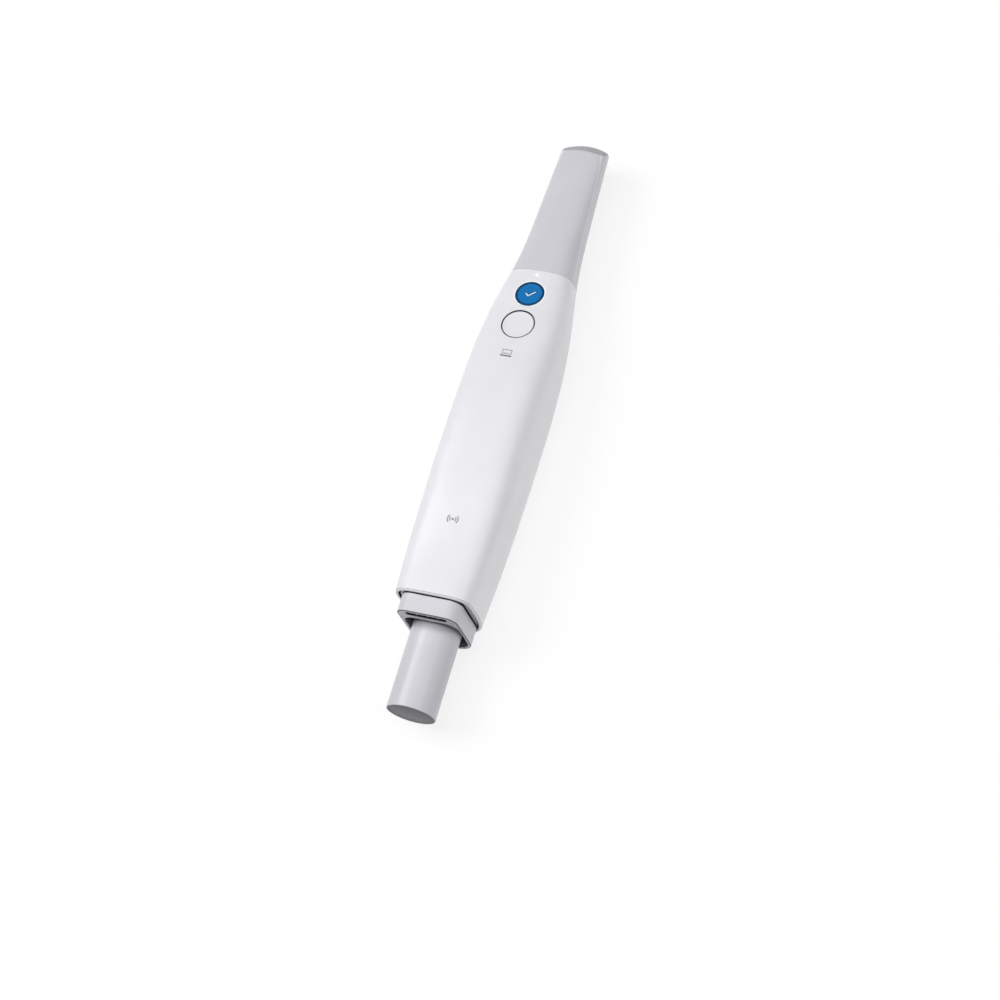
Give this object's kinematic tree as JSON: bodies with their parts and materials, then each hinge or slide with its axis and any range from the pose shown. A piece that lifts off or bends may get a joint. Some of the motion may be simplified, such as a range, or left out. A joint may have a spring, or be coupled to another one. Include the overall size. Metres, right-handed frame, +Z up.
{
  "type": "intraoral scanner",
  "caption": "Cordless handheld intraoral scanner: tapering body with two round buttons, hollow mirror tip, rear collar and a cylindrical battery that slides out.",
  "frame": {"origin": "on the plane the belly rests on, under the middle of the overall length and width", "axes": "+Y along the scanner from the battery to the tip, +Z up from the belly to the button side, +X across it"},
  "size_m": [0.0438, 0.313, 0.0467],
  "materials": {
    "white_housing": "satin moulded",
    "tip_plastic": "satin moulded",
    "collar_plastic": "fine matte",
    "battery_case": "satin",
    "battery_end": "matte",
    "button_blue": "satin",
    "button_white": "satin",
    "status_lens": "clear diffusing",
    "window_glass": "coated clear",
    "mirror_coating": "polished",
    "black_plastic": "matte",
    "circuit_board": "solder mask",
    "cast_alloy": "as cast",
    "screw_steel": "plain",
    "contact_gold": "plated",
    "seal_rubber": "matte",
    "cell_wrap": "shrink wrap"
  },
  "bodies": {
    "handle": {"body_shell": "white_housing", "scan_switch": "black_plastic", "check_switch": "black_plastic", "keypad_board": "circuit_board", "status_light": "status_lens", "status_lamp": "status_lens", "rear_collar": "collar_plastic", "collar_screw_1": "screw_steel", "collar_screw_2": "screw_steel", "battery_bay": "black_plastic", "contact_block": "black_plastic", "contact_blade_1": "contact_gold", "contact_blade_2": "contact_gold", "chassis": "black_plastic", "main_board": "circuit_board", "board_screw_1": "screw_steel", "board_screw_2": "screw_steel", "board_screw_3": "screw_steel", "board_screw_4": "screw_steel", "processor_shield": "screw_steel", "radio_module": "black_plastic", "optical_bench": "cast_alloy", "light_heat_sink": "cast_alloy", "light_board": "circuit_board", "projector_lamp": "status_lens", "projector_barrel": "black_plastic", "projector_lens": "window_glass", "camera_left": "cast_alloy", "camera_right": "cast_alloy", "camera_lens_left": "black_plastic", "camera_lens_right": "black_plastic", "optics_nose": "black_plastic", "nose_window": "window_glass", "window_seal": "seal_rubber", "fan_housing": "black_plastic", "fan_cover": "screw_steel"},
    "tip": {"scan_tip": "tip_plastic", "tip_mirror": "mirror_coating"},
    "battery": {"battery_tube": "battery_case", "battery_end_cap": "battery_end", "battery_cell": "cell_wrap", "battery_front_cap": "black_plastic"},
    "scan_key": {"scan_button": "button_white", "scan_plunger": "button_white"},
    "check_key": {"check_button": "button_blue", "check_plunger": "button_white"},
    "fan": {"fan_rotor": "black_plastic"}
  },
  "joints": [
    {"name": "tip_slide", "type": "slide", "parent": "handle", "child": "tip", "axis": [0, 1, 0], "range_m": [0, 0.055]},
    {"name": "battery_slide", "type": "slide", "parent": "handle", "child": "battery", "axis": [0, -1, 0], "range_m": [0, 0.055]},
    {"name": "scan_button_press", "type": "slide", "parent": "handle", "child": "scan_key", "axis": [0, -0.1554, -0.9879], "range_m": [0, 0.00039], "stiffness_N_per_m": 1500},
    {"name": "check_button_press", "type": "slide", "parent": "handle", "child": "check_key", "axis": [0, -0.1554, -0.9879], "range_m": [0, 0.00039], "stiffness_N_per_m": 1500},
    {"name": "fan_spin", "type": "hinge", "parent": "handle", "child": "fan", "pos_m": [0, -0.0852, 0.04], "axis": [0, 0, 1], "continuous": true}
  ]
}
